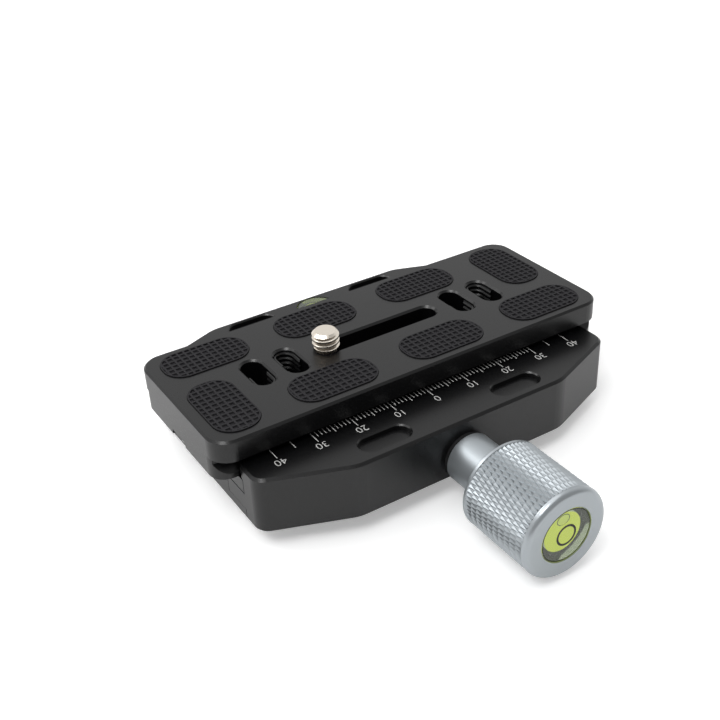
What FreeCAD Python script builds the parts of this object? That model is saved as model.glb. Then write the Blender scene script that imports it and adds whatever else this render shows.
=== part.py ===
import FreeCAD, Part
import math
import os

os.makedirs("parts", exist_ok=True)

# Quick-release clamp for a tripod head with its camera plate, in mm.
# X runs along the jaws, the knob points to -Y, +Z is up.
# The origin lies in the base's underside, on the axis of the tripod thread.

# Clamp outline seen from above
CLAMP_DEPTH = 69.4
CLAMP_HEIGHT = 14.0
FLAT_WIDTH = 55.0
END_DEPTH = 53.6
END_CORNER_R = 3.4
BEND_R = 9.0
EDGE_CHAMFER = 0.6

# Dovetail shared by the plate and both jaws
DOVETAIL_WIDTH = 38.0
DOVETAIL_EDGE = 1.2
LIP_OVERLAP = 1.4
LIP_TIP = 0.9
LIP_CORNER_R = 3.5
FLANK_RELIEF = 0.6

# Quick-release plate
PLATE_LENGTH = 105.0
PLATE_THICKNESS = 10.1
FLANGE_THICKNESS = 5.2
FLANGE_OVERHANG = 1.5
WAIST_DEPTH = 2.3
PLATE_CORNER_R = 5.0
DOVETAIL_CORNER_R = 4.0
PLATE_EDGE_CHAMFER = 0.5
SLOT_WIDTH = 5.2
SLOT_LENGTH = 33.2
SLOT_CHAMFER = 0.5
HOLE_WIDTH = 5.2
HOLE_LENGTH = 11.2
HOLE_CHAMFER = 0.45
HOLE_WEB = 3.3

# Rubber pads on the plate
PAD_LENGTH = 21.0
PAD_WIDTH = 10.9
PAD_CORNER_R = 4.9
PAD_THICKNESS = 1.4
PAD_PROUD = 0.25
PAD_EDGE_CHAMFER = 0.15
PAD_SIDE_MARGIN = 2.2
PAD_END_MARGIN = 3.2
PAD_ACROSS_SIDE_MARGIN = 2.4
PAD_ACROSS_END_MARGIN = 2.85
PADS_IN_ROW = 3

# Camera screw, 1/4 inch with 20 threads to the inch
CAMERA_THREAD_R = 6.35 / 2
CAMERA_STANDOUT = 4.6
CAMERA_TIP_CHAMFER = 0.7
CAMERA_SHANK_R = 2.45
CAMERA_HEAD_R = 4.9
CAMERA_HEAD_T = 3.2
CAMERA_HEAD_CHAMFER = 0.3
CAMERA_COIN_SLOT = 1.6
CAMERA_WASHER_T = 0.6
CAMERA_RECESS_R = 5.4
CAMERA_RECESS_DEPTH = 5.5
CAMERA_HOME_GAP = 0.1

# Stop screws under the plate's ends
STOP_SETBACK = 2.5
STOP_HEAD_R = 1.8
STOP_HEAD_T = 2.2
STOP_HEAD_CHAMFER = 0.4
STOP_THREAD_R = 1.25
STOP_THREAD_LENGTH = 5.0
STOP_THREAD_SPARE = 0.5
STOP_DRIVE_R = 0.75
STOP_DRIVE_DEPTH = 1.1
STOP_GROOVE_MARGIN = 1.5
STOP_GROOVE_DEPTH = 1.2

# Moving jaw and its tongue
JAW_TRAVEL = 5.0
PARTING_LAND = 1.25
TONGUE_LENGTH = 8.0
TONGUE_T = 4.1
TONGUE_Z = 2.8
TONGUE_INNER_X = 10.0
POCKET_LENGTH = 12.6
POCKET_WIDTH = 5.4
POCKET_DEPTH = 1.3
POCKET_CHAMFER = 0.3
POCKET_X = 17.8
MOVING_POCKET_SETBACK = 5.0
FIXED_POCKET_SETBACK = 4.0

# Clamp screw and knob, measured outward from the moving jaw's front
CLAMP_SCREW_R = 3.0
CLAMP_SCREW_INSERT = 19.0
CLAMP_SCREW_CHAMFER = 0.6
NECK_R = 6.0
NECK_LENGTH = 11.6
KNOB_R = 10.6
KNOB_LENGTH = 20.4
KNURL_SINK = 0.15
KNOB_BACK_RIM = 0.9
KNOB_FRONT_RIM = 1.5
KNOB_FRONT_ROUND = 1.4
KNOB_BACK_CHAMFER = 0.3
WASHER_R = 5.7
WASHER_T = 0.9

# Retaining ring on the screw's tip and the window it runs in
CLIP_R = 3.9
CLIP_T = 0.7
CLIP_GROOVE_R = 2.4
CLIP_MOUTH = 4.4
CLIP_SETBACK = 0.7
WINDOW_HALF_WIDTH = 4.7
WINDOW_WALL = 1.74
WINDOW_CORNER_R = 1.0
WINDOW_ROOF_Z = 9.1

# Return springs
SPRING_X = 6.6
SPRING_R = 1.4
SPRING_WIRE_R = 0.25
SPRING_TURNS = 6
SPRING_FACETS = (10, 6)
SPRING_POCKET_R = 1.95
SPRING_JAW_DEPTH = 4.0
SPRING_BODY_DEPTH = 8.5

# Tripod thread in the base, 3/8 inch with 16 threads to the inch
BASE_THREAD_R = 9.525 / 2
BASE_THREAD_CHAMFER = 0.6

# Bullseye level in the knob's end
KNOB_VIAL_R = 6.4
KNOB_VIAL_LENGTH = 6.0
KNOB_VIAL_SINK = 0.2
KNOB_FLUID_R = 4.8
KNOB_FLUID_DEPTH = 3.4
KNOB_DOME_RISE = 0.35
KNOB_BASE_T = 1.4

# Bullseye level in the fixed jaw
JAW_VIAL_SETBACK = 6.05
JAW_VIAL_R = 5.2
JAW_VIAL_LENGTH = 5.0
JAW_VIAL_SINK = 0.1
JAW_FLUID_R = 4.0
JAW_FLUID_DEPTH = 3.0
JAW_DOME_RISE = 0.3
JAW_BASE_T = 1.2

# Clearances
FLANK_FIT = 0.05
SEAT_FIT = 0.05
PARTING_GAP = 0.2
STOP_PLAY = 0.6
TRAVEL_SPARE = 0.1
SCREW_TIP_GAP = 0.4
STEP_GAP = 0.2
TONGUE_TOP_GAP = 0.3
TONGUE_FIT = 0.08
TONGUE_TIP_GAP = 0.2
TONGUE_SIDE_GAP = 0.3
THREAD_FIT = 0.05
SCREW_CLEARANCE = 0.3
PAD_FIT = 0.1
VIAL_FIT = 0.1
WASHER_FIT = 0.02
CAMERA_LIFT = 0.25

# Levels and positions that follow from the sizes above
HALF_PLATE = PLATE_LENGTH / 2
STOP_X = HALF_PLATE - STOP_SETBACK
HALF_LENGTH = STOP_X - STOP_HEAD_R - STOP_PLAY
HALF_DEPTH = CLAMP_DEPTH / 2
JAW_VIAL_Y = HALF_DEPTH - JAW_VIAL_SETBACK
DOVE_HALF = DOVETAIL_WIDTH / 2
FLANGE_HALF = DOVE_HALF + FLANGE_OVERHANG
WAIST_HALF = DOVE_HALF - WAIST_DEPTH
LIP_HALF = DOVE_HALF - LIP_OVERLAP
PARTING_HALF = DOVE_HALF + FLANK_RELIEF + PARTING_LAND
DECK_Z = CLAMP_HEIGHT - LIP_TIP - LIP_OVERLAP - DOVETAIL_EDGE
PLATE_Z = DECK_Z + SEAT_FIT
PLATE_TOP = PLATE_Z + PLATE_THICKNESS
FLANK_SHIFT = FLANK_FIT * math.sqrt(2)
SCREW_Z = TONGUE_Z + TONGUE_T / 2
JAW_FRONT_Y = -HALF_DEPTH
JAW_INNER_Y = -PARTING_HALF - PARTING_GAP / 2
BODY_FRONT_Y = -PARTING_HALF + PARTING_GAP / 2
TONGUE_TIP_Y = JAW_INNER_Y + TONGUE_LENGTH
WINDOW_BACK_Y = -BASE_THREAD_R - WINDOW_WALL
SCREW_TIP_Y = WINDOW_BACK_Y - SCREW_TIP_GAP
CLIP_FRONT_Y = SCREW_TIP_Y - CLIP_SETBACK - WASHER_FIT - CLIP_T
WINDOW_FRONT_Y = CLIP_FRONT_Y - JAW_TRAVEL - TRAVEL_SPARE
NECK_START = WASHER_T + 2 * WASHER_FIT
KNOB_START = NECK_START + NECK_LENGTH
KNOB_END = KNOB_START + KNOB_LENGTH
RECESS_ROOF_Z = PLATE_Z + CAMERA_RECESS_DEPTH
CAMERA_X = -(SLOT_LENGTH / 2 - CAMERA_SHANK_R - CAMERA_HOME_GAP)
PAD_ROW_Y = FLANGE_HALF - PAD_SIDE_MARGIN - PAD_WIDTH / 2
PAD_ACROSS_X = HALF_PLATE - PAD_ACROSS_END_MARGIN - PAD_WIDTH / 2
PAD_ACROSS_Y = FLANGE_HALF - PAD_ACROSS_SIDE_MARGIN - PAD_LENGTH / 2
PAD_FIRST_X = -HALF_PLATE + PAD_END_MARGIN + PAD_LENGTH / 2
PAD_ACROSS_EDGE = PAD_ACROSS_X - PAD_WIDTH / 2
PAD_PITCH = (PAD_ACROSS_EDGE - PAD_FIRST_X + PAD_LENGTH / 2) / PADS_IN_ROW
HOLE_LAND = (PAD_ACROSS_EDGE - SLOT_LENGTH / 2 - 2 * HOLE_WIDTH - HOLE_WEB) / 2
HOLE_INNER_X = SLOT_LENGTH / 2 + HOLE_LAND + HOLE_WIDTH / 2
HOLE_OUTER_X = HOLE_INNER_X + HOLE_WIDTH + HOLE_WEB

UP = FreeCAD.Vector(0, 0, 1)
ALONG_X = FreeCAD.Vector(1, 0, 0)
ALONG_Y = FreeCAD.Vector(0, 1, 0)


def vec(x, y, z):
    return FreeCAD.Vector(x, y, z)


def box(x0, x1, y0, y1, z0, z1):
    """Block between two opposite corners."""
    return Part.makeBox(x1 - x0, y1 - y0, z1 - z0, vec(x0, y0, z0))


def rod(radius, length, start, direction=UP):
    return Part.makeCylinder(radius, length, start, direction)


def rounded_face(corners, z):
    """Flat face at height z with each corner (x, y, radius) rounded by a tangent arc."""
    starts, middles, ends = [], [], []
    count = len(corners)
    for i in range(count):
        x, y, radius = corners[i]
        here = vec(x, y, z)
        to_last = (vec(corners[i - 1][0], corners[i - 1][1], z) - here).normalize()
        after = corners[(i + 1) % count]
        to_next = (vec(after[0], after[1], z) - here).normalize()
        half = to_last.getAngle(to_next) / 2
        reach = radius / math.tan(half)
        starts.append(here + to_last * reach)
        ends.append(here + to_next * reach)
        bisector = (to_last + to_next).normalize()
        middles.append(here + bisector * (radius / math.sin(half) - radius))
    edges = []
    for i in range(count):
        if corners[i][2] > 0:
            edges.append(Part.Arc(starts[i], middles[i], ends[i]).toShape())
        follow = starts[(i + 1) % count]
        if (follow - ends[i]).Length > 1e-6:
            edges.append(Part.LineSegment(ends[i], follow).toShape())
    return Part.Face(Part.Wire(edges))


def rounded_block(length, width, radius, cx, cy, z0, z1):
    """Upright block with rounded vertical corners."""
    a, b = length / 2, width / 2
    signs = ((-1, -1), (1, -1), (1, 1), (-1, 1))
    corners = [(cx + i * a, cy + j * b, radius) for i, j in signs]
    return rounded_face(corners, z0).extrude(UP * (z1 - z0))


def oblong(length, width, cx, cy, z0, z1):
    """Upright oblong: the longer side ends in half circles."""
    return rounded_block(length, width, min(length, width) / 2, cx, cy, z0, z1)


def edges_at(shape, z):
    """Edges that lie wholly at one height."""
    return [e for e in shape.Edges if abs(e.BoundBox.ZMin - z) < 1e-6 and abs(e.BoundBox.ZMax - z) < 1e-6]


def flared_oblong(length, width, flare, cx, cy, z0, z1):
    """Cutter for an oblong hole whose mouth at height z1 is chamfered."""
    shaft = oblong(length, width, cx, cy, z0, z1)
    mouth = oblong(length + 2 * flare, width + 2 * flare, cx, cy, z1 - flare, z1 + flare)
    return shaft.fuse(mouth.makeChamfer(flare, edges_at(mouth, z1 - flare)))


def flat_face(points):
    return Part.Face(Part.makePolygon(points + points[:1]))


def bar(section, half_length):
    """Bar along X with a section given as (y, z) points."""
    points = [vec(-half_length, y, z) for y, z in section]
    return flat_face(points).extrude(ALONG_X * (2 * half_length))


def turned(profile):
    """Solid turned about Z from (radius, height) points; four values give an arc's end and a point on it."""
    edges = []
    for a, b in zip(profile, profile[1:] + profile[:1]):
        start, end = vec(a[0], 0, a[1]), vec(b[0], 0, b[1])
        if len(b) == 4:
            edges.append(Part.Arc(start, vec(b[2], 0, b[3]), end).toShape())
        else:
            edges.append(Part.LineSegment(start, end).toShape())
    return Part.Face(Part.Wire(edges)).revolve(vec(0, 0, 0), UP, 360)


def onto_knob_axis(shape):
    """Carries a solid turned about Z onto the clamp screw's axis, its zero at the jaw's front."""
    shape.rotate(vec(0, 0, 0), ALONG_X, 90)
    shape.translate(vec(0, JAW_FRONT_Y, SCREW_Z))
    return shape


def tidy(shape):
    """One clean solid without seams between merged faces."""
    clean = shape.removeSplitter()
    return clean.Solids[0] if len(clean.Solids) == 1 else clean


def save(name, shape):
    shape.exportStep("parts/" + name + ".step")


# Clamp

def clamp_outline():
    """Block that both jaws and the base are cut from, tapered towards its ends."""
    flat, end = FLAT_WIDTH / 2, END_DEPTH / 2
    near = [(-HALF_LENGTH, -end, END_CORNER_R), (-flat, -HALF_DEPTH, BEND_R),
            (flat, -HALF_DEPTH, BEND_R), (HALF_LENGTH, -end, END_CORNER_R)]
    corners = near + [(-x, -y, radius) for x, y, radius in near]
    block = rounded_face(corners, 0).extrude(UP * CLAMP_HEIGHT)
    return block.makeChamfer(EDGE_CHAMFER, edges_at(block, 0) + edges_at(block, CLAMP_HEIGHT))


def lip_section(side):
    """Points down a jaw's lip and flank; side is -1 for the moving jaw and 1 for the fixed one."""
    tip_bottom = CLAMP_HEIGHT - LIP_TIP + FLANK_SHIFT
    foot = DOVE_HALF + FLANK_RELIEF
    foot_z = tip_bottom - (foot - LIP_HALF)
    return [(side * LIP_HALF, CLAMP_HEIGHT), (side * LIP_HALF, tip_bottom), (side * foot, foot_z)]


def lip_corner_cutters(side):
    """Cutters that round both ends of a lip in plan."""
    cutters = []
    for end in (-1, 1):
        cx = end * (HALF_LENGTH - LIP_CORNER_R)
        cy = side * (LIP_HALF + LIP_CORNER_R)
        xs = sorted((cx, end * (HALF_LENGTH + 1)))
        ys = sorted((cy, side * (LIP_HALF - 1)))
        block = box(xs[0], xs[1], ys[0], ys[1], DECK_Z + STEP_GAP, CLAMP_HEIGHT + 1)
        cutters.append(block.cut(rod(LIP_CORNER_R, CLAMP_HEIGHT, vec(cx, cy, DECK_Z))))
    return cutters


def top_pockets(y):
    """Cutters for the two shallow oblong pockets in a jaw's top."""
    floor = CLAMP_HEIGHT - POCKET_DEPTH
    return [flared_oblong(POCKET_LENGTH, POCKET_WIDTH, POCKET_CHAMFER, x, y, floor, CLAMP_HEIGHT)
            for x in (-POCKET_X, POCKET_X)]


def spring_pockets(y, depth, direction):
    return [rod(SPRING_POCKET_R, depth, vec(x, y, SCREW_Z), ALONG_Y * direction)
            for x in (-SPRING_X, SPRING_X)]


def clamp_body():
    """Base with the fixed jaw, a slot along the front for the tongue and the window for the screw's tip."""
    lip = lip_section(1)
    section = [(BODY_FRONT_Y, 0), (HALF_DEPTH + 1, 0), (HALF_DEPTH + 1, CLAMP_HEIGHT)]
    section += lip + [(lip[2][0], DECK_Z), (BODY_FRONT_Y, DECK_Z)]
    body = bar(section, HALF_LENGTH + 1).common(clamp_outline())
    slot_floor = TONGUE_Z - TONGUE_FIT
    slot_roof = TONGUE_Z + TONGUE_T + TONGUE_TOP_GAP
    slot_back = TONGUE_TIP_Y + TONGUE_TIP_GAP
    slot_inner = TONGUE_INNER_X - TONGUE_SIDE_GAP
    cutters = lip_corner_cutters(1) + top_pockets(HALF_DEPTH - FIXED_POCKET_SETBACK)
    for x0, x1 in ((-HALF_LENGTH - 1, -slot_inner), (slot_inner, HALF_LENGTH + 1)):
        cutters.append(box(x0, x1, BODY_FRONT_Y - 1, slot_back, slot_floor, slot_roof))
    hole_r = CLAMP_SCREW_R + THREAD_FIT
    hole_start = vec(0, BODY_FRONT_Y - 1, SCREW_Z)
    cutters.append(rod(hole_r, WINDOW_FRONT_Y - BODY_FRONT_Y + 2, hole_start, ALONG_Y))
    width, length = 2 * WINDOW_HALF_WIDTH, WINDOW_BACK_Y - WINDOW_FRONT_Y
    middle = (WINDOW_BACK_Y + WINDOW_FRONT_Y) / 2
    cutters.append(rounded_block(width, length, WINDOW_CORNER_R, 0, middle, -1, WINDOW_ROOF_Z))
    cutters += spring_pockets(BODY_FRONT_Y, SPRING_BODY_DEPTH, 1)
    cutters.append(rod(BASE_THREAD_R, DECK_Z + 2, vec(0, 0, -1)))
    bevel = BASE_THREAD_CHAMFER
    mouth_r = BASE_THREAD_R + bevel
    cutters.append(Part.makeCone(mouth_r, BASE_THREAD_R, bevel, vec(0, 0, 0)))
    cutters.append(Part.makeCone(BASE_THREAD_R, mouth_r, bevel, vec(0, 0, DECK_Z - bevel)))
    seat = JAW_VIAL_LENGTH + JAW_BASE_T + JAW_VIAL_SINK
    cutters.append(rod(JAW_VIAL_R + VIAL_FIT, seat + 1, vec(0, JAW_VIAL_Y, CLAMP_HEIGHT - seat)))
    return tidy(body.cut(cutters))


def moving_jaw():
    """Bar with the dovetail lip above and the guiding tongue in two halves below."""
    lip = lip_section(-1)
    step_z = DECK_Z + STEP_GAP
    section = [(JAW_INNER_Y, 0), (JAW_FRONT_Y - 1, 0), (JAW_FRONT_Y - 1, CLAMP_HEIGHT)]
    section += lip + [(lip[2][0], step_z), (JAW_INNER_Y, step_z)]
    jaw = bar(section, HALF_LENGTH + 1).common(clamp_outline())
    top = TONGUE_Z + TONGUE_T
    for x0, x1 in ((-HALF_LENGTH, -TONGUE_INNER_X), (TONGUE_INNER_X, HALF_LENGTH)):
        jaw = jaw.fuse(box(x0, x1, JAW_INNER_Y - 1, TONGUE_TIP_Y, TONGUE_Z, top))
    cutters = lip_corner_cutters(-1) + top_pockets(MOVING_POCKET_SETBACK - HALF_DEPTH)
    through = JAW_INNER_Y - JAW_FRONT_Y + 2
    cutters.append(rod(CLAMP_SCREW_R + SCREW_CLEARANCE, through, vec(0, JAW_FRONT_Y - 1, SCREW_Z), ALONG_Y))
    cutters += spring_pockets(JAW_INNER_Y, SPRING_JAW_DEPTH, -1)
    return tidy(jaw.cut(cutters))


def clamp_knob():
    """Turned knob: neck, smooth back rim, knurled band, rounded front rim and the level's bore."""
    knurl_r = KNOB_R - KNURL_SINK
    knurl_start = KNOB_START + KNOB_BACK_RIM
    knurl_end = KNOB_END - KNOB_FRONT_RIM
    soft = KNOB_FRONT_ROUND
    bend = soft * (1 - math.sqrt(0.5))
    bore_r = KNOB_VIAL_R + VIAL_FIT
    bore_floor = KNOB_END - KNOB_VIAL_SINK - KNOB_VIAL_LENGTH - KNOB_BASE_T
    stud_end = NECK_START + CLAMP_SCREW_INSERT
    profile = [(CLAMP_SCREW_R, NECK_START), (NECK_R - KNOB_BACK_CHAMFER, NECK_START),
               (NECK_R, NECK_START + KNOB_BACK_CHAMFER), (NECK_R, KNOB_START),
               (KNOB_R - KNOB_BACK_CHAMFER, KNOB_START), (KNOB_R, KNOB_START + KNOB_BACK_CHAMFER),
               (KNOB_R, knurl_start), (knurl_r, knurl_start + KNURL_SINK),
               (knurl_r, knurl_end - KNURL_SINK), (KNOB_R, knurl_end), (KNOB_R, KNOB_END - soft),
               (KNOB_R - soft, KNOB_END, KNOB_R - bend, KNOB_END - bend),
               (bore_r, KNOB_END), (bore_r, bore_floor), (0, bore_floor),
               (0, stud_end), (CLAMP_SCREW_R, stud_end)]
    return onto_knob_axis(turned(profile))


def clamp_screw():
    """Stud from the knob through the jaw into the body, with a groove for the ring near its tip."""
    head = NECK_START + CLAMP_SCREW_INSERT
    tip = JAW_FRONT_Y - SCREW_TIP_Y
    groove_end = tip + CLIP_SETBACK
    groove_start = groove_end + CLIP_T + 2 * WASHER_FIT
    bevel = CLAMP_SCREW_CHAMFER
    profile = [(0, head), (CLAMP_SCREW_R, head), (CLAMP_SCREW_R, groove_start),
               (CLIP_GROOVE_R, groove_start), (CLIP_GROOVE_R, groove_end), (CLAMP_SCREW_R, groove_end),
               (CLAMP_SCREW_R, tip + bevel), (CLAMP_SCREW_R - bevel, tip), (0, tip)]
    return onto_knob_axis(turned(profile))


def screw_clip():
    """Open retaining ring snapped into the screw's groove, its mouth upward."""
    start = JAW_FRONT_Y - CLIP_FRONT_Y - CLIP_T
    inner_r = CLIP_GROOVE_R + THREAD_FIT
    ring = rod(CLIP_R, CLIP_T, vec(0, 0, start)).cut(rod(inner_r, CLIP_T, vec(0, 0, start)))
    mouth = box(-CLIP_MOUTH / 2, CLIP_MOUTH / 2, 0, CLIP_R, start, start + CLIP_T)
    return onto_knob_axis(ring.cut(mouth))


def thrust_washer():
    ring = rod(WASHER_R, WASHER_T, vec(0, 0, WASHER_FIT))
    return onto_knob_axis(ring.cut(rod(CLAMP_SCREW_R + SCREW_CLEARANCE, WASHER_T, vec(0, 0, WASHER_FIT))))


def spring_point(turn, y, angle):
    """Point on a spring's wire: the turn round the spring's axis, then the angle round the wire."""
    radius = SPRING_R + SPRING_WIRE_R * math.cos(angle)
    return vec(radius * math.cos(turn), y + SPRING_WIRE_R * math.sin(angle), radius * math.sin(turn))


def return_springs():
    """Two helical springs with faceted wire that press the jaw away from the body."""
    start = JAW_INNER_Y - SPRING_JAW_DEPTH + SPRING_WIRE_R + WASHER_FIT
    end = BODY_FRONT_Y + SPRING_BODY_DEPTH - SPRING_WIRE_R - WASHER_FIT
    around, sides = SPRING_FACETS
    count = SPRING_TURNS * around
    rings = []
    for i in range(count + 1):
        turn = 2 * math.pi * i / around
        y = start + (end - start) * i / count
        rings.append([spring_point(turn, y, 2 * math.pi * k / sides) for k in range(sides)])
    faces = [flat_face(rings[0]), flat_face(rings[-1])]
    for low, high in zip(rings, rings[1:]):
        for k in range(sides):
            faces.append(flat_face([low[k - 1], low[k], high[k]]))
            faces.append(flat_face([low[k - 1], high[k], high[k - 1]]))
    spring = Part.Solid(Part.makeShell(faces))
    springs = []
    for x in (-SPRING_X, SPRING_X):
        one = spring.copy()
        one.translate(vec(x, 0, SCREW_Z))
        springs.append(one)
    return Part.makeCompound(springs)


# Bullseye levels

def vial_parts(radius, length, fluid_r, fluid_depth, rise, base_t):
    """Clear vial, liquid and base plug about Z, the vial's window at zero and the plug below."""
    floor = -length
    roof = floor + fluid_depth
    dome_r = (fluid_r ** 2 + rise ** 2) / (2 * rise)
    middle = roof + rise - dome_r + math.sqrt(dome_r ** 2 - fluid_r ** 2 / 4)
    dome = (0, roof + rise, fluid_r / 2, middle)
    vial = turned([dome, (0, 0), (radius, 0), (radius, floor), (fluid_r, floor), (fluid_r, roof)])
    fluid = turned([(0, floor), (fluid_r, floor), (fluid_r, roof), dome])
    plug = rod(radius, base_t, vec(0, 0, floor - base_t))
    return vial, fluid, plug


def save_vial(name, sizes, place):
    for suffix, shape in zip(("", "_fluid", "_base"), vial_parts(*sizes)):
        save(name + suffix, place(shape))


def onto_knob_face(shape):
    shape.translate(UP * (KNOB_END - KNOB_VIAL_SINK))
    return onto_knob_axis(shape)


def onto_fixed_jaw(shape):
    shape.translate(vec(0, JAW_VIAL_Y, CLAMP_HEIGHT - JAW_VIAL_SINK))
    return shape


# Plate

def pad_places():
    """Centre, length along X and length along Y of the eight pads, paired by a half turn of the plate."""
    far = [(PAD_FIRST_X + i * PAD_PITCH, PAD_ROW_Y, PAD_LENGTH, PAD_WIDTH) for i in range(PADS_IN_ROW)]
    far.append((PAD_ACROSS_X, PAD_ACROSS_Y, PAD_WIDTH, PAD_LENGTH))
    near = [(-x, -y, a, b) for x, y, a, b in reversed(far)]
    return far + near


def quick_plate():
    """Dovetail bar with rounded ends, then slotted, drilled and recessed."""
    flange_z = PLATE_TOP - FLANGE_THICKNESS
    edge_z = PLATE_Z + DOVETAIL_EDGE
    right = [(DOVE_HALF, PLATE_Z), (DOVE_HALF, edge_z), (WAIST_HALF, edge_z + WAIST_DEPTH),
             (WAIST_HALF, flange_z), (FLANGE_HALF + 1, flange_z), (FLANGE_HALF + 1, PLATE_TOP)]
    left = [(-y, z) for y, z in reversed(right)]
    flange = rounded_block(PLATE_LENGTH, 2 * FLANGE_HALF, PLATE_CORNER_R, 0, 0, flange_z, PLATE_TOP)
    flange = flange.makeChamfer(PLATE_EDGE_CHAMFER, edges_at(flange, PLATE_TOP))
    foot = rounded_block(PLATE_LENGTH, 2 * DOVE_HALF, DOVETAIL_CORNER_R, 0, 0, PLATE_Z, flange_z)
    plate = bar(right + left, HALF_PLATE + 1).common(flange.fuse(foot))
    cutters = [flared_oblong(SLOT_LENGTH, SLOT_WIDTH, SLOT_CHAMFER, 0, 0, PLATE_Z - 1, PLATE_TOP)]
    for x in (-HOLE_OUTER_X, -HOLE_INNER_X, HOLE_INNER_X, HOLE_OUTER_X):
        cutters.append(flared_oblong(HOLE_WIDTH, HOLE_LENGTH, HOLE_CHAMFER, x, 0, PLATE_Z - 1, PLATE_TOP))
    recess_length = SLOT_LENGTH - SLOT_WIDTH + 2 * CAMERA_RECESS_R
    cutters.append(oblong(recess_length, 2 * CAMERA_RECESS_R, 0, 0, PLATE_Z - 1, RECESS_ROOF_Z))
    pad_floor = PLATE_TOP - PAD_THICKNESS + PAD_PROUD
    fit = 2 * PAD_FIT
    pocket_r = PAD_CORNER_R + PAD_FIT
    for x, y, a, b in pad_places():
        cutters.append(rounded_block(a + fit, b + fit, pocket_r, x, y, pad_floor, PLATE_TOP + 1))
    for end in (-1, 1):
        half = STOP_HEAD_R + STOP_GROOVE_MARGIN
        xs = sorted((end * (STOP_X - half), end * (HALF_PLATE + 1)))
        roof = PLATE_Z + STOP_GROOVE_DEPTH
        cutters.append(box(xs[0], xs[1], -half, half, PLATE_Z - 1, roof))
        cutters.append(rod(STOP_THREAD_R, STOP_THREAD_LENGTH + STOP_THREAD_SPARE, vec(end * STOP_X, 0, roof)))
    return tidy(plate.cut(cutters))


def pad(place):
    """One rubber pad, standing a little above the plate."""
    x, y, a, b = place
    bottom = PLATE_TOP - PAD_THICKNESS + PAD_PROUD
    top = PLATE_TOP + PAD_PROUD
    block = rounded_block(a, b, PAD_CORNER_R, x, y, bottom, top)
    return block.makeChamfer(PAD_EDGE_CHAMFER, edges_at(block, top))


def camera_screw():
    """Captive screw: slotted head under the plate, thin shank in the slot, thread above the plate."""
    head_top = RECESS_ROOF_Z - CAMERA_WASHER_T - 2 * WASHER_FIT
    head_bottom = head_top - CAMERA_HEAD_T
    thread_z = PLATE_TOP + CAMERA_LIFT
    tip = PLATE_TOP + CAMERA_STANDOUT
    tip_r = CAMERA_THREAD_R - CAMERA_TIP_CHAMFER
    bevel = CAMERA_HEAD_CHAMFER
    screw = turned([(0, head_bottom), (CAMERA_HEAD_R - bevel, head_bottom),
                    (CAMERA_HEAD_R, head_bottom + bevel), (CAMERA_HEAD_R, head_top),
                    (CAMERA_SHANK_R, head_top), (CAMERA_SHANK_R, thread_z), (CAMERA_THREAD_R, thread_z),
                    (CAMERA_THREAD_R, tip - CAMERA_TIP_CHAMFER), (tip_r, tip), (0, tip)])
    half = CAMERA_COIN_SLOT / 2
    reach = CAMERA_HEAD_R + 1
    coin = box(-reach, reach, -half, half, head_bottom - 1, head_bottom + CAMERA_COIN_SLOT)
    screw = screw.cut(coin)
    screw.translate(ALONG_X * CAMERA_X)
    return tidy(screw)


def camera_screw_washer():
    bottom = RECESS_ROOF_Z - WASHER_FIT - CAMERA_WASHER_T
    ring = rod(CAMERA_HEAD_R, CAMERA_WASHER_T, vec(CAMERA_X, 0, bottom))
    return ring.cut(rod(CAMERA_SHANK_R + THREAD_FIT, CAMERA_WASHER_T, vec(CAMERA_X, 0, bottom)))


def stop_screws():
    """Two small button-head screws whose heads stand below the plate, just outside the clamp's ends."""
    roof = PLATE_Z + STOP_GROOVE_DEPTH
    bottom = roof - STOP_HEAD_T
    screws = []
    for x in (-STOP_X, STOP_X):
        head = rod(STOP_HEAD_R, STOP_HEAD_T, vec(x, 0, bottom))
        head = head.makeChamfer(STOP_HEAD_CHAMFER, edges_at(head, bottom))
        thread = rod(STOP_THREAD_R, STOP_THREAD_LENGTH, vec(x, 0, roof))
        drive = rod(STOP_DRIVE_R, STOP_DRIVE_DEPTH, vec(x, 0, bottom))
        screws.append(tidy(head.fuse(thread).cut(drive)))
    return Part.makeCompound(screws)


save("clamp_body", clamp_body())
save("moving_jaw", moving_jaw())
save("clamp_knob", clamp_knob())
save("clamp_screw", clamp_screw())
save("screw_clip", screw_clip())
save("thrust_washer", thrust_washer())
save("return_springs", return_springs())
knob_sizes = (KNOB_VIAL_R, KNOB_VIAL_LENGTH, KNOB_FLUID_R, KNOB_FLUID_DEPTH, KNOB_DOME_RISE, KNOB_BASE_T)
save_vial("knob_vial", knob_sizes, onto_knob_face)
jaw_sizes = (JAW_VIAL_R, JAW_VIAL_LENGTH, JAW_FLUID_R, JAW_FLUID_DEPTH, JAW_DOME_RISE, JAW_BASE_T)
save_vial("jaw_vial", jaw_sizes, onto_fixed_jaw)
save("quick_plate", quick_plate())
for number, place in enumerate(pad_places(), 1):
    save("pad_" + str(number), pad(place))
save("camera_screw", camera_screw())
save("camera_screw_washer", camera_screw_washer())
save("stop_screws", stop_screws())
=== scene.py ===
import math

import bpy
from bpy.props import FloatProperty, FloatVectorProperty, IntProperty, PointerProperty
from mathutils import Matrix, Vector


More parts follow.
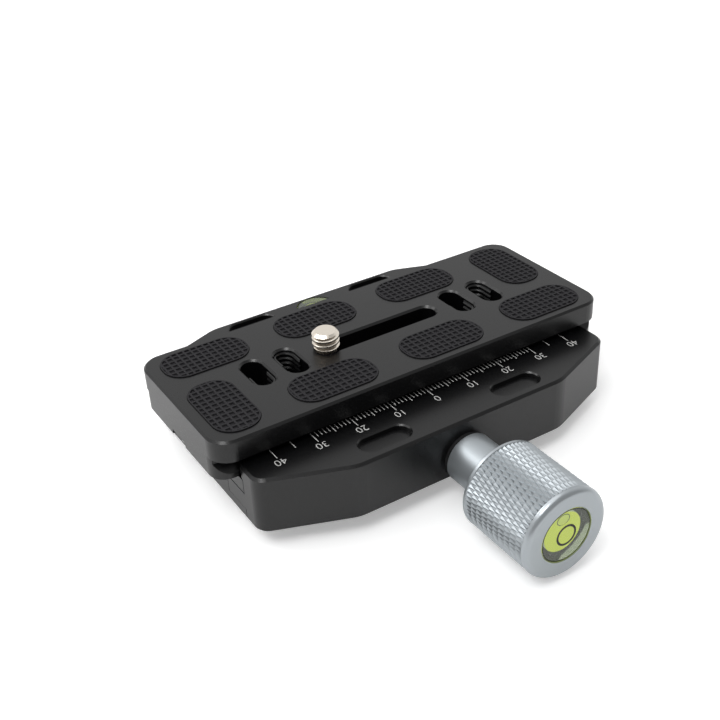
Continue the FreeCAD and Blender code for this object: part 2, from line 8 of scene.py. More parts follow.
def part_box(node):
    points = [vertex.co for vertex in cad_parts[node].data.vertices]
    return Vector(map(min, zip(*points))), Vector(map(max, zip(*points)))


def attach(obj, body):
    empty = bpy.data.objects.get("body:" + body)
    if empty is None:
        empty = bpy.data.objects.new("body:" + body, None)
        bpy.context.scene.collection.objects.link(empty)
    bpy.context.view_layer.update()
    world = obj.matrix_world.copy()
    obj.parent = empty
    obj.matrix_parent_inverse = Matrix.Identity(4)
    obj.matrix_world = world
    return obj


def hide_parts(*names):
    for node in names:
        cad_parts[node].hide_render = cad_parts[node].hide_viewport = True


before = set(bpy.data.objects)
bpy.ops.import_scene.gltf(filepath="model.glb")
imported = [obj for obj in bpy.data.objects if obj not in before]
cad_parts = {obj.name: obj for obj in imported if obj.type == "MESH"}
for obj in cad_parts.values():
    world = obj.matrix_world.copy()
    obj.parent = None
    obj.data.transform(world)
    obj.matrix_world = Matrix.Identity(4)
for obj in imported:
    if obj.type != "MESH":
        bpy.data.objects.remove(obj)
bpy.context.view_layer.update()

bl_info = {
    "name": "Quick-release clamp dressing",
    "version": (1, 0, 0),
    "blender": (4, 5, 0),
    "location": "3D View > Sidebar > Quick clamp",
    "description": "Knurling, rubber pads, threads, scale and levels on a camera clamp's solids",
    "category": "Object",
}

MM = 0.001
QUARTER_TURN = math.pi / 2
FULL_TURN = 2 * math.pi
# Vertices this close are merged, and this close to a plane they count as on it.
MERGE = 2e-6
ON_PLANE = 1e-7
# Faces that meet at less than this many degrees are shaded as one curve.
SMOOTH_ANGLE = 32
PAD_SMOOTH_ANGLE = 25
KNURL_SMOOTH_ANGLE = 14
# Shares of a thread's pitch at which its flat crest starts and ends.
CREST_START, CREST_END = 0.36, 0.64
# Height of a digit over its font size.
DIGIT_SHARE = 0.73
# Marks and numbers of the scale, in millimetres from its middle.
SCALE_MARKS = (*range(-30, 31), -40, -35, 35, 40)
SCALE_NUMBERS = range(-40, 41, 10)
# A noise texture's values lie mostly between these.
NOISE_LOW, NOISE_HIGH = 0.3, 0.7
PLATE_LOW, PLATE_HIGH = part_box("quick_plate")
KNOB_LOW, KNOB_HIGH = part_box("clamp_knob")
SCREW_LOW, SCREW_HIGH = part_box("camera_screw")
STUD_LOW, STUD_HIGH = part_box("clamp_screw")
JAW_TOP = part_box("moving_jaw")[1].z
KNOB_AXIS_Z = (KNOB_LOW.z + KNOB_HIGH.z) / 2
PAD_NODES = ["pad_%d" % number for number in range(1, 9)]


def linear(code):
    """sRGB hex colour as linear red, green and blue."""
    parts = [int(code[i:i + 2], 16) / 255 for i in (1, 3, 5)]
    return tuple(c / 12.92 if c <= 0.04045 else ((c + 0.055) / 1.055) ** 2.4 for c in parts)


def length(name, default, description):
    """Property for a length in metres."""
    return FloatProperty(name=name, description=description, default=default, min=0.0, unit="LENGTH",
                         subtype="DISTANCE", precision=5)


def count(name, default, description):
    """Property for a whole number."""
    return IntProperty(name=name, description=description, default=default, min=1)


def share(name, default, description):
    """Property for a plain number."""
    return FloatProperty(name=name, description=description, default=default, min=0.0)


def colour(name, code, description):
    """Property for a colour given as sRGB hex."""
    return FloatVectorProperty(name=name, description=description, default=linear(code), subtype="COLOR",
                               size=3, min=0.0, max=1.0)


class KnobSizes(bpy.types.PropertyGroup):
    """Sizes of the turned and knurled clamping knob."""
    neck_radius: length("Neck radius", 6.0 * MM, "Radius of the smooth neck at the jaw")
    neck_length: length("Neck length", 11.6 * MM, "Length of the neck up to the grip")
    back_rim: length("Back rim", 0.9 * MM, "Smooth band behind the knurl")
    front_rim: length("Front rim", 1.5 * MM, "Smooth band in front of the knurl")
    front_round: length("Front round", 1.4 * MM, "Radius of the soft front edge")
    edge: length("Edge", 0.3 * MM, "Chamfer on the sharp corners")
    bore_radius: length("Bore radius", 6.5 * MM, "Seat of the level in the front")
    bore_rim: length("Bore rim", 0.1 * MM, "Chamfer of the level's seat")
    bore_depth: length("Bore depth", 7.6 * MM, "Depth of the level's seat")
    stud_radius: length("Stud radius", 3.0 * MM, "Hole for the clamping screw")
    stud_depth: length("Stud depth", 19.0 * MM, "Depth of the screw's hole")
    knurl_depth: length("Knurl depth", 0.34 * MM, "Height of the diamonds above their grooves")
    knurl_bed: share("Knurl bed", 1.4, "Depth under the knurl, in knurl depths")
    knurl_around: count("Diamonds around", 63, "Diamonds in one row round the knob")
    knurl_along: count("Diamonds along", 5, "Whole diamonds from rim to rim")


class PadSizes(bpy.types.PropertyGroup):
    """Sizes of the moulded rubber pads."""
    corner: length("Corner", 4.9 * MM, "Radius of the pad's corners")
    corner_steps: count("Corner steps", 12, "Faces round a corner")
    pitch: length("Pitch", 1.62 * MM, "Distance between the square pits")
    rib: length("Rib", 0.46 * MM, "Width of the ribs between the pits")
    rim: length("Rim", 0.3 * MM, "Width of the plain edge round the pits")
    draft: length("Draft", 0.12 * MM, "How much a pit narrows to its floor")
    pit_depth: length("Pit depth", 0.33 * MM, "Depth of the pits")
    columns: count("Columns", 14, "Pits along the pad")
    rows: count("Rows", 7, "Pits across the pad")


class ThreadSizes(bpy.types.PropertyGroup):
    """Sizes of the threads."""
    camera_radius: length("Camera radius", 3.175 * MM, "Outer radius of the camera thread")
    camera_pitch: length("Camera pitch", 1.27 * MM, "Twenty threads to the inch")
    camera_root: length("Camera root", 2.42 * MM, "Radius in the camera thread's groove")
    camera_start: length("Camera shank", 0.25 * MM, "Gap from the plate to the thread")
    run_in: length("Run-in", 0.5 * MM, "Height on which the camera thread starts")
    shank_radius: length("Shank radius", 2.45 * MM, "Radius of the camera screw below its thread")
    head_height: length("Head height", 3.2 * MM, "Height of the camera screw's head")
    head_edge: length("Head edge", 0.3 * MM, "Chamfer under the camera screw's head")
    coin_slot: length("Coin slot", 1.6 * MM, "Width and depth of the slot in the head")
    tip_chamfer: length("Tip chamfer", 0.7 * MM, "Chamfer on the camera screw's tip")
    proud: length("Proud", 0.05 * MM, "Height that is turned off a thread's crests")
    stud_pitch: length("Stud pitch", 1.0 * MM, "Pitch of the clamping screw")
    stud_root: length("Stud root", 2.4 * MM, "Radius in the clamping screw's groove")
    stud_thread: length("Stud thread", 20.0 * MM, "Length of the clamping screw's thread")
    stud_chamfer: length("Stud chamfer", 0.6 * MM, "Chamfer on the clamping screw's tip")
    clip_groove: length("Clip groove", 2.4 * MM, "Radius in the groove for the ring")
    clip_gap: length("Clip gap", 0.02 * MM, "Room on both sides of the ring")
    base_pitch: length("Base pitch", 1.5875 * MM, "Sixteen threads to the inch")
    base_radius: length("Base radius", 4.7625 * MM, "Outer radius of the tripod thread")
    base_mouth: length("Base mouth", 0.7 * MM, "Height at which the tripod thread starts")
    base_roof: length("Base roof", 0.75 * MM, "Gap from the tripod thread to the plate")
    base_depth: length("Base depth", 0.62 * MM, "Depth of the tripod thread")
    hole_width: length("Hole width", 5.2 * MM, "Width of the plate's oblong holes")
    hole_length: length("Hole length", 11.2 * MM, "Length of the plate's oblong holes")
    hole_depth: length("Hole thread depth", 0.28 * MM, "Depth of the thread in the oblong holes")
    hole_inner: length("Inner hole", 23.425 * MM, "Inner holes' distance from the plate's middle")
    hole_outer: length("Outer hole", 31.925 * MM, "Outer holes' distance from the plate's middle")
    mouth: length("Mouth", 0.8 * MM, "Clear depth above a hole's thread")
    foot: length("Foot", 0.2 * MM, "Clear height below a hole's thread")
    skin: length("Skin", 0.3 * MM, "Thickness behind a hole's thread")


class ScaleSizes(bpy.types.PropertyGroup):
    """Sizes of the printed millimetre scale."""
    start: length("Start", 19.0 * MM, "Marks' distance from the clamp's middle")
    short_mark: length("Short mark", 1.9 * MM, "Length of the 1 mm marks")
    middle_mark: length("Middle mark", 2.6 * MM, "Length of the 5 mm marks")
    long_mark: length("Long mark", 3.6 * MM, "Length of the 10 mm marks")
    stroke: length("Stroke", 0.2 * MM, "Width of a mark")
    digit_height: length("Digit height", 2.15 * MM, "Height of the numbers")
    thinning: length("Thinning", 0.04 * MM, "Taken off both sides of the numbers' strokes")
    digit_gap: length("Digit gap", 0.55 * MM, "Gap from a long mark to its number")
    ink: length("Ink", 0.02 * MM, "Thickness of the print")


class LevelSizes(bpy.types.PropertyGroup):
    """Sizes of the two bullseye levels."""
    knob_ring: length("Knob ring", 2.3 * MM, "Radius of the printed ring on the knob's level")
    jaw_ring: length("Jaw ring", 1.9 * MM, "Radius of the printed ring on the jaw's level")
    stroke: length("Ring stroke", 0.5 * MM, "Width of the printed rings")
    knob_bubble: length("Knob bubble", 1.25 * MM, "Radius of the bubble in the knob's level")
    jaw_bubble: length("Jaw bubble", 1.1 * MM, "Radius of the bubble in the jaw's level")
    knob_bubble_rise: length("Knob bubble's rise", 3.15 * MM, "Bubble's distance from the knob level's middle")
    jaw_bubble_rise: length("Jaw bubble's rise", 0.9 * MM, "Bubble's distance from the jaw level's middle")
    bubble_edge: length("Bubble edge", 0.09 * MM, "Half width of a bubble's outline")
    bubble_stretch: share("Bubble stretch", 1.25, "Width of a bubble over its height")
    bubble_flatness: share("Bubble flatness", 0.1, "Depth of a bubble over its height")
    # The dark line round a window is painted shade of the gap round the vial.
    border: length("Border", 0.2 * MM, "Width of the dark line round a window")
    ink_above: length("Ink above", 0.02 * MM, "Height of print above a window")
    ink_below: length("Ink below", 0.01 * MM, "Depth of print in a window")
    play: length("Play", 0.04 * MM, "Gap added round a vial in its bore")
    vial_edge: length("Vial edge", 0.06 * MM, "Chamfer round a window")
    # The liquid's pale side is painted; this is the height of that painted change.
    fade: length("Fade", 0.08 * MM, "Height over which the liquid turns pale")
    inset: length("Liquid inset", 0.06 * MM, "Liquid's distance from the vial's inner wall")
    dome: length("Dome", 0.3 * MM, "Height of the liquid's domed top")


class FinishColours(bpy.types.PropertyGroup):
    """Colours of the finishes."""
    black_metal: colour("Black anodising", "#050506", "Dyed oxide on the clamp and the plate")
    silver_metal: colour("Silver anodising", "#adb3b7", "Undyed oxide on the knob")
    bright_steel: colour("Bright steel", "#f5ecdf", "Turned stainless steel of the camera screw")
    screw_steel: colour("Screw steel", "#a5a6a5", "Stop screws and washer")
    plated_steel: colour("Plated steel", "#b6b7b5", "Zinc on the clamping screw and springs")
    nylon: colour("Nylon", "#161617", "Thrust washer")
    rubber: colour("Rubber", "#1d1c1f", "Pads")
    acrylic: colour("Acrylic", "#dfe8d8", "Bodies of the levels")
    # The spirit's colour is also its emission colour, a painted glow.
    liquid: colour("Liquid", "#dbe648", "Dyed spirit in the levels")
    # Painted: the paler, duller tone of the spirit's side, for the light seen through the vial's wall.
    liquid_side: colour("Liquid's side", "#c4cdb4", "Side of the spirit, seen through the vial's wall")
    # Darker copy of the spirit: painted shade for the jaw's level, which lies in its bore's shade.
    shaded_liquid: colour("Shaded liquid", "#c3d05e", "Dyed spirit in the jaw's level")
    # The bubble glows with painted light.
    bubble: colour("Bubble", "#dfea70", "Bubble in a level")
    # The bubble's outline is painted shade, a dark ring where the liquid's surface turns away.
    bubble_edge: colour("Bubble edge", "#5f7d2c", "Outline of a bubble")
    plug: colour("Plug", "#e2ead6", "Base of the levels")
    white_ink: colour("White ink", "#c8c8c6", "Scale and numbers")
    # Black ink also draws the dark line round each window, which is painted shade of the gap round the vial.
    black_ink: colour("Black ink", "#0d0e0c", "Rings on the levels")
    floor: colour("Floor", "#f3f3f3", "Paper sweep under the object")


class StageSizes(bpy.types.PropertyGroup):
    """Camera and light."""
    focal: FloatProperty(name="Focal length", description="Camera lens on a 36 mm wide sensor", default=53.37,
                         min=1.0, unit="CAMERA")
    floor_size: length("Floor size", 6.0, "Side of the paper sweep")
    shadow_reach: length("Shadow reach", 0.16, "Distance at which the floor turns plain white")
    shadow_core: share("Shadow core", 0.45, "Share of that distance in which the shadow is whole")
    shadow_light: share("Shadow light", 0.32, "Light the camera sees on top of the floor's own")
    walls: share("Walls", 0.95, "Light from the back and the sides")
    front: share("Front", 0.45, "Light from the photographer's side")
    front_edge: share("Front edge", 0.6, "Share of the way to the front on which the light fades")


def only(piece):
    """Selects one piece alone and makes it active."""
    bpy.ops.object.select_all(action="DESELECT")
    piece.select_set(True)
    bpy.context.view_layer.objects.active = piece


def edit_mode(piece):
    """Opens one piece in edit mode with all of it selected."""
    only(piece)
    bpy.ops.object.mode_set(mode="EDIT")
    bpy.ops.mesh.select_all(action="SELECT")


def object_mode():
    """Goes back to object mode."""
    bpy.ops.object.mode_set(mode="OBJECT")


def select_parts(piece, kind, test):
    """Selects the vertices, edges or faces of a piece in edit mode that pass a test."""
    bpy.ops.mesh.select_mode(type=kind)
    bpy.ops.mesh.select_all(action="DESELECT")
    object_mode()
    parts = {"VERT": piece.data.vertices, "EDGE": piece.data.edges, "FACE": piece.data.polygons}[kind]
    for part in parts:
        part.select = test(part)
    bpy.ops.object.mode_set(mode="EDIT")


def ends(piece, edge):
    """Places of an edge's two vertices."""
    return [piece.data.vertices[i].co for i in edge.vertices]


def named(name):
    """Names the active piece and its mesh."""
    piece = bpy.context.active_object
    piece.name = name
    piece.data.name = name
    return piece


def made(name, operator, **settings):
    """Adds a piece with an operator while nothing else is selected, and names it."""
    bpy.ops.object.select_all(action="DESELECT")
    operator(**settings)
    return named(name)


def apply_modifier(piece, kind, **settings):
    """Adds a modifier with its settings and applies it."""
    modifier = piece.modifiers.new(kind, kind)
    for option, value in settings.items():
        setattr(modifier, option, value)
    only(piece)
    bpy.ops.object.modifier_apply(modifier=modifier.name)


def close_up(piece):
    """Merges doubled vertices and turns all faces outward."""
    edit_mode(piece)
    bpy.ops.mesh.remove_doubles(threshold=MERGE)
    bpy.ops.mesh.normals_make_consistent(inside=False)
    object_mode()


def place(piece, location=(0, 0, 0), rotation=(0, 0, 0)):
    """Moves and turns a piece and applies that to its mesh."""
    only(piece)
    piece.location = location
    piece.rotation_euler = rotation
    bpy.ops.object.transform_apply(location=True, rotation=True, scale=True)


def join(pieces):
    """Joins pieces into the first."""
    bpy.ops.object.select_all(action="DESELECT")
    for piece in pieces:
        piece.select_set(True)
    bpy.context.view_layer.objects.active = pieces[0]
    bpy.ops.object.join()
    return pieces[0]


def combine(piece, tool, operation):
    """Boolean of a piece with a tool, which is used up."""
    apply_modifier(piece, "BOOLEAN", operation=operation, object=tool, solver="EXACT", use_self=True)
    bpy.data.objects.remove(tool)


def own_copy(piece, name):
    """Copies a piece and its mesh."""
    copy = piece.copy()
    copy.data = piece.data.copy()
    copy.name = name
    copy.data.name = name
    bpy.context.scene.collection.objects.link(copy)
    return copy


def draw_line(name, points):
    """Line of (radius, height) points in the XZ plane, drawn by extruding one vertex from point to point."""
    piece = made(name, bpy.ops.mesh.primitive_plane_add, size=MM)
    edit_mode(piece)
    bpy.ops.mesh.select_mode(type="VERT")
    bpy.ops.mesh.merge(type="CENTER")
    here = Vector((0, 0, 0))
    for number, (radius, height) in enumerate(points):
        there = Vector((radius, 0, height))
        if number == 0:
            bpy.ops.transform.translate(value=there - here)
        else:
            bpy.ops.mesh.extrude_vertices_move(TRANSFORM_OT_translate={"value": there - here})
        here = there
    object_mode()
    return piece


def turn(name, points, steps):
    """Turns a line about Z on the lathe."""
    piece = draw_line(name, points)
    apply_modifier(piece, "SCREW", axis="Z", angle=FULL_TURN, steps=steps, render_steps=steps)
    close_up(piece)
    return piece


def arc(centre, radius, start, end, steps):
    """Points on an arc from one angle to another, in degrees."""
    angles = [math.radians(start + (end - start) * i / steps) for i in range(steps + 1)]
    return [(centre[0] + radius * math.cos(a), centre[1] + radius * math.sin(a)) for a in angles]


def zigzag(root, crest, pitch, low, high):
    """Points up a thread's flanks, one tooth after another, from a turn below low to a turn above high."""
    teeth = math.ceil((high - low) / pitch) + 2
    points = []
    for tooth in range(teeth):
        foot = low - pitch + tooth * pitch
        points += [(root, foot), (crest, foot + CREST_START * pitch), (crest, foot + CREST_END * pitch)]
    points.append((root, low - pitch + teeth * pitch))
    return points


def cut(piece, point, normal):
    """Cuts off what lies on the normal's side of a plane and closes the cut."""
    edit_mode(piece)
    bpy.ops.mesh.bisect(plane_co=point, plane_no=normal, use_fill=True, clear_outer=True, threshold=ON_PLANE)
    object_mode()


def cut_ends(piece, low, high):
    """Cuts a piece flat at two heights."""
    cut(piece, (0, 0, low), (0, 0, -1))
    cut(piece, (0, 0, high), (0, 0, 1))
    close_up(piece)


def wind(name, points, pitch, steps):
    """Winds a thread's line once round Z, a pitch upward."""
    piece = draw_line(name, points)
    apply_modifier(piece, "SCREW", axis="Z", angle=FULL_TURN, screw_offset=pitch, steps=steps, render_steps=steps)
    close_up(piece)
    return piece


def thread_rod(name, root, crest, pitch, low, high, steps):
    """Threaded rod about Z with flat ends."""
    piece = wind(name, zigzag(root, crest, pitch, low, high), pitch, steps)
    cut_ends(piece, low, high)
    return piece


def inner_thread(name, radius, depth, skin, pitch, low, high, stretch=0.0, steps=72):
    """Threaded wall about Z whose ridges stand inward, stretched along Y for an oblong hole."""
    piece = wind(name, zigzag(radius, radius - depth, pitch, low, high), pitch, steps)
    place(piece, rotation=(0, 0, math.pi / steps))
    for side in (-1, 1):
        edit_mode(piece)
        select_parts(piece, "VERT", lambda v: v.co.y * side > 0)
        bpy.ops.transform.translate(value=(0, side * stretch, 0))
        object_mode()
    apply_modifier(piece, "SOLIDIFY", thickness=skin, offset=1.0)
    cut_ends(piece, low, high)
    return piece


def finish_piece(piece, body, material, degrees=SMOOTH_ANGLE):
    """Gives a finished piece its material, shading and body."""
    piece.data.materials.clear()
    piece.data.materials.append(material)
    if degrees:
        only(piece)
        bpy.ops.object.shade_smooth_by_angle(angle=math.radians(degrees))
    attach(piece, body)


def add_node(tree, kind, values=None, links=None, **options):
    """Adds a node with its options, socket values and links from other sockets."""
    node = tree.nodes.new(kind)
    for option, value in options.items():
        setattr(node, option, value)
    for socket, value in (values or {}).items():
        node.inputs[socket].default_value = value
    for socket, source in (links or {}).items():
        tree.links.new(source, node.inputs[socket])
    return node


def empty_material(name):
    """New material without nodes, and its node tree."""
    material = bpy.data.materials.new(name)
    material.use_nodes = True
    material.node_tree.nodes.clear()
    return material, material.node_tree


def surface(name, rgb, roughness, metallic=0.0, grit=0.0, grit_height=0.0, grit_share=0.0, **extra):
    """Surface with one colour and, where grit is given, a fine grain of that size in its gloss and relief."""
    material, tree = empty_material(name)
    values = {"Base Color": (*rgb, 1.0), "Roughness": roughness, "Metallic": metallic, **extra}
    links = {}
    if grit:
        where = add_node(tree, "ShaderNodeTexCoord")
        grain = add_node(tree, "ShaderNodeTexNoise", {"Scale": 1 / grit, "Detail": 3.0, "Roughness": 0.6},
                         {"Vector": where.outputs["Object"]})
        gloss = add_node(tree, "ShaderNodeMapRange",
                         {"From Min": NOISE_LOW, "From Max": NOISE_HIGH,
                          "To Min": roughness - grit_share, "To Max": roughness + grit_share},
                         {"Value": grain.outputs["Fac"]})
        relief = add_node(tree, "ShaderNodeBump", {"Strength": 1.0, "Distance": grit_height},
                          {"Height": grain.outputs["Fac"]})
        links = {"Roughness": gloss.outputs["Result"], "Normal": relief.outputs["Normal"]}
    shader = add_node(tree, "ShaderNodeBsdfPrincipled", values, links)
    add_node(tree, "ShaderNodeOutputMaterial", links={"Surface": shader.outputs["BSDF"]})
    return material


def along_knob(tree, start, end, low=0.0, high=1.0):
    """Value that goes from low to high between two places on the knob's axis."""
    where = add_node(tree, "ShaderNodeTexCoord")
    axis = add_node(tree, "ShaderNodeSeparateXYZ", links={"Vector": where.outputs["Object"]})
    step = add_node(tree, "ShaderNodeMapRange", {"From Min": start, "From Max": end, "To Min": low, "To Max": high},
                    {"Value": axis.outputs["Y"]})
    return step.outputs["Result"]


def feed(material, source, *sockets):
    """Links a value to sockets of a surface."""
    shader = next(node for node in material.node_tree.nodes if node.type == "BSDF_PRINCIPLED")
    for socket in sockets:
        material.node_tree.links.new(source, shader.inputs[socket])


def finishes():
    """All finishes by name, made once."""
    if "black_anodised_aluminium" in bpy.data.materials:
        return bpy.data.materials
    paint = bpy.context.scene.clamp_colours
    # Blasted and dyed oxide: an even dark grey that spreads light into a wide soft sheen.
    # The blasting grain is about 0.06 mm and is drawn at 0.2 mm so that it shows.
    surface("black_anodised_aluminium", paint.black_metal, roughness=0.3, grit=0.2 * MM, grit_height=0.001 * MM,
            grit_share=0.03, IOR=1.52)
    # Undyed oxide over aluminium: a cool, soft metallic sheen, softest on the blasted neck.
    grip_gloss, neck_gloss, blend = 0.28, 0.38, 0.5 * MM
    silver = surface("silver_anodised_aluminium", paint.silver_metal, roughness=grip_gloss, metallic=0.8)
    shoulder = KNOB_HIGH.y - bpy.context.scene.clamp_knob.neck_length
    feed(silver, along_knob(silver.node_tree, shoulder, shoulder + blend, grip_gloss, neck_gloss), "Roughness")
    # Turned stainless steel: bright and warm, with soft highlights on the thread.
    surface("turned_stainless_steel", paint.bright_steel, roughness=0.28, metallic=1.0)
    # Cold-headed stainless steel: a plain grey metal.
    surface("headed_stainless_steel", paint.screw_steel, roughness=0.3, metallic=1.0)
    # Zinc plating: a duller grey metal.
    surface("zinc_plated_steel", paint.plated_steel, roughness=0.36, metallic=1.0)
    # Moulded nylon: plain black with a weak sheen.
    surface("moulded_nylon", paint.nylon, roughness=0.5)
    # Moulded rubber: matt, faintly purple, with a dry sheen on its ribs.
    surface("moulded_rubber", paint.rubber, roughness=0.62, grit=0.15 * MM, grit_height=0.004 * MM, grit_share=0.05,
            **{"Specular IOR Level": 0.25})
    # Cast acrylic: polished, and faintly milky where the light enters its rim.
    surface("cast_acrylic", paint.acrylic, roughness=0.04, **{"Transmission Weight": 0.9, "IOR": 1.49})
    # Dyed spirit: a fluorescent yellow-green. Its glow is painted light, an emission that stands in for the lamp
    # light the acrylic keeps from it. Its side is painted paler and duller, as it looks through the vial's wall.
    spirit = surface("dyed_spirit", paint.liquid, roughness=0.3, **{"Emission Strength": 0.5})
    # Painted light: down its side the spirit turns a paler, duller colour, standing for the light seen through the
    # vial's milky wall.
    levels = bpy.context.scene.clamp_levels
    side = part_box("knob_vial_fluid")[0].y + levels.dome + levels.inset
    depth = along_knob(spirit.node_tree, side, side + levels.fade)
    ramp = add_node(spirit.node_tree, "ShaderNodeValToRGB", links={"Fac": depth})
    ramp.color_ramp.elements[0].color = (*paint.liquid, 1.0)
    ramp.color_ramp.elements[1].color = (*paint.liquid_side, 1.0)
    feed(spirit, ramp.outputs["Color"], "Base Color", "Emission Color")
    # The same spirit deep in the jaw's bore, as a darker copy: painted shade where little light reaches it, a dull
    # green with a weak painted glow.
    surface("shaded_spirit", paint.shaded_liquid, roughness=0.3,
            **{"Emission Color": (*paint.shaded_liquid, 1.0), "Emission Strength": 0.14})
    # Air under the liquid's surface: the same green, a little paler, with a painted glow that no lamp gives it.
    surface("bubble_air", paint.bubble, roughness=0.2,
            **{"Emission Color": (*paint.bubble, 1.0), "Emission Strength": 0.4})
    # Edge of the bubble: a dark ring of painted shade, standing for the darkening where the liquid's surface turns
    # away.
    surface("bubble_edge", paint.bubble_edge, roughness=0.3)
    # Moulded ABS plug behind the liquid: gives it a bright even ground.
    surface("moulded_abs_plug", paint.plug, roughness=0.5)
    # Screen-printed inks: flat and matt.
    surface("white_screen_ink", paint.white_ink, roughness=0.6)
    surface("black_screen_ink", paint.black_ink, roughness=0.5)
    return bpy.data.materials


SOLID_FINISHES = {
    "black_anodised_aluminium": ("clamp_body", "moving_jaw", "quick_plate"),
    "zinc_plated_steel": ("screw_clip", "return_springs"),
    "headed_stainless_steel": ("camera_screw_washer", "stop_screws"),
    "moulded_nylon": ("thrust_washer",),
    "moulded_abs_plug": ("knob_vial_base", "jaw_vial_base"),
}


class CLAMP_OT_solid_finishes(bpy.types.Operator):
    """Gives the machined solids that are shown as they are their finishes"""
    bl_idname = "clamp.solid_finishes"
    bl_label = "Finish the solids"

    def execute(self, context):
        materials = finishes()
        for name, nodes in SOLID_FINISHES.items():
            for node in nodes:
                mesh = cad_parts[node].data
                mesh.materials.clear()
                mesh.materials.append(materials[name])
        return {"FINISHED"}


def knurled_band(radius, low, high, sizes):
    """Ring of diamond pyramids about Z between two heights."""
    around, along, depth = sizes.knurl_around, sizes.knurl_along, sizes.knurl_depth
    valley = radius - depth
    width, band = FULL_TURN * valley, high - low
    piece = made("knurled_band", bpy.ops.mesh.primitive_grid_add, x_subdivisions=around, y_subdivisions=along,
                 size=1.0)
    piece.scale = (width, band, 1.0)
    place(piece, rotation=(QUARTER_TURN, 0, 0))
    edit_mode(piece)
    bpy.ops.mesh.poke()
    object_mode()
    apply_modifier(piece, "SIMPLE_DEFORM", deform_method="BEND", deform_axis="Z", angle=FULL_TURN)
    place(piece, location=(0, -valley, (low + high) / 2))
    edit_mode(piece)
    bpy.ops.mesh.remove_doubles(threshold=MERGE)
    top, bottom = high - MERGE, low + MERGE

    def straight(edge):
        a, b = ends(piece, edge)
        flat = abs(a.z - b.z) < MERGE
        border = flat and (a.z > top or a.z < bottom)
        upright = (a.xy - b.xy).length < MERGE
        return (flat or upright) and not border

    def on_border(edge):
        a, b = ends(piece, edge)
        return (a.z > top and b.z > top) or (a.z < bottom and b.z < bottom)

    select_parts(piece, "EDGE", straight)
    bpy.ops.mesh.dissolve_edges(use_verts=False)
    select_parts(piece, "FACE", lambda f: len(f.vertices) == 4)
    bpy.ops.mesh.poke(offset=depth)
    select_parts(piece, "EDGE", on_border)
    bpy.ops.mesh.subdivide(number_cuts=1)
    select_parts(piece, "FACE", lambda f: len(f.vertices) == 4)
    bpy.ops.mesh.quads_convert_to_tris(quad_method="LONGEST_DIAGONAL")
    middle_radius = valley * math.cos(math.pi / around)
    peak = radius / middle_radius
    select_parts(piece, "VERT", lambda v: (v.co.z > top or v.co.z < bottom) and v.co.xy.length < valley - MERGE)
    bpy.ops.transform.resize(value=(peak, peak, 1), center_override=(0, 0, 0))
    select_parts(piece, "EDGE", on_border)
    bpy.ops.mesh.extrude_region_move()
    under = (valley - 2 * depth) / valley
    bpy.ops.transform.resize(value=(under, under, 1), center_override=(0, 0, 0))
    bpy.ops.mesh.bridge_edge_loops()
    object_mode()
    close_up(piece)
    return piece


class CLAMP_OT_knurled_knob(bpy.types.Operator):
    """Turns the clamping knob and rolls its diamond knurl"""
    bl_idname = "clamp.knurled_knob"
    bl_label = "Knurled knob"

    def execute(self, context):
        s = context.scene.clamp_knob
        radius = (KNOB_HIGH.x - KNOB_LOW.x) / 2
        end = KNOB_HIGH.y - KNOB_LOW.y
        grip = s.neck_length
        knurl_low, knurl_high = grip + s.back_rim, end - s.front_rim
        floor = radius - s.knurl_bed * s.knurl_depth
        soft, rim = s.front_round, s.bore_rim
        profile = [(0, s.stud_depth), (s.stud_radius, s.stud_depth), (s.stud_radius, 0),
                   (s.neck_radius - s.edge, 0), (s.neck_radius, s.edge), (s.neck_radius, grip),
                   (radius - s.edge, grip), (radius, grip + s.edge), (radius, knurl_low), (floor, knurl_low + s.edge),
                   (floor, knurl_high - s.edge), (radius, knurl_high)]
        profile += arc((radius - soft, end - soft), soft, 0, 90, steps=8)
        profile += [(s.bore_radius + rim, end), (s.bore_radius, end - rim), (s.bore_radius, end - s.bore_depth),
                    (0, end - s.bore_depth)]
        knob = turn("knurled_knob", profile, steps=2 * s.knurl_around)
        band = knurled_band(radius, knurl_low + s.edge / 2, knurl_high - s.edge / 2, s)
        join([knob, band])
        place(knob, (0, KNOB_HIGH.y, KNOB_AXIS_Z), (QUARTER_TURN, 0, 0))
        finish_piece(knob, "knob", finishes()["silver_anodised_aluminium"], KNURL_SMOOTH_ANGLE)
        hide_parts("clamp_knob")
        return {"FINISHED"}


def pit_blocks(sizes):
    """Closed blocks in the shape of the pits, twice as deep and half of them above zero height, to cut clean."""
    pits = made("pad_pits", bpy.ops.mesh.primitive_grid_add, x_subdivisions=sizes.columns,
                y_subdivisions=sizes.rows, size=1.0)
    pits.scale = (sizes.columns * sizes.pitch, sizes.rows * sizes.pitch, 1.0)
    place(pits)
    edit_mode(pits)
    bpy.ops.mesh.select_mode(type="FACE")
    bpy.ops.mesh.inset(thickness=sizes.rib / 2 - sizes.draft, use_individual=True)
    bpy.ops.mesh.select_all(action="INVERT")
    bpy.ops.mesh.delete(type="FACE")
    bpy.ops.mesh.select_all(action="SELECT")
    bpy.ops.mesh.inset(thickness=2 * sizes.draft, depth=-2 * sizes.pit_depth, use_individual=True)
    bpy.ops.mesh.select_all(action="SELECT")
    bpy.ops.mesh.fill_holes(sides=4)
    object_mode()
    close_up(pits)
    place(pits, (0, 0, sizes.pit_depth))
    return pits


def pad_blank(sizes, size):
    """Plain pad with round corners, its top at zero height."""
    pad = made("pad_shape", bpy.ops.mesh.primitive_cube_add, size=1.0, location=(0, 0, -size.z / 2), scale=size)
    place(pad, pad.location)

    def upright(edge):
        a, b = ends(pad, edge)
        return abs(a.z - b.z) > size.z / 2

    edit_mode(pad)
    select_parts(pad, "EDGE", upright)
    bpy.ops.mesh.bevel(offset=sizes.corner, segments=sizes.corner_steps, affect="EDGES")
    object_mode()
    return pad


